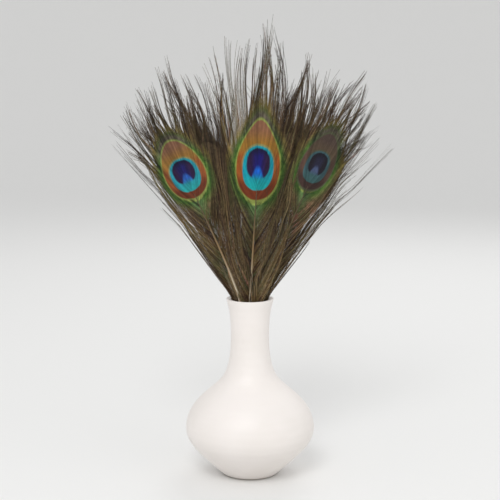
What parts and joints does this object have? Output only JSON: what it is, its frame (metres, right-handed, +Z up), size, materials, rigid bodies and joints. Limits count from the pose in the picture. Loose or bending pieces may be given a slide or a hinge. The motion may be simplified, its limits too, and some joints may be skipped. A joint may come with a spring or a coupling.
{
  "type": "peacock feathers in a vase",
  "caption": "Peacock eye feathers fanned out and standing in a small white narrow-necked ceramic vase.",
  "frame": {"origin": "centre of the vase's flat base, on the surface it stands on", "axes": "+Z up along the vase's axis; -Y is the display side, which the three front eye spots face; the fan spreads along X"},
  "size_m": [0.174, 0.1059, 0.2901],
  "materials": {
    "ceramic": "satin",
    "feather": "satin"
  },
  "bodies": {
    "root": {"vase": "ceramic", "feather_front_center": "feather", "feather_front_left": "feather", "feather_front_right": "feather", "feather_side_left": "feather", "feather_side_right": "feather", "feather_middle_left": "feather", "feather_middle_right": "feather", "feather_back_left": "feather", "feather_back_right": "feather"}
  },
  "joints": []
}
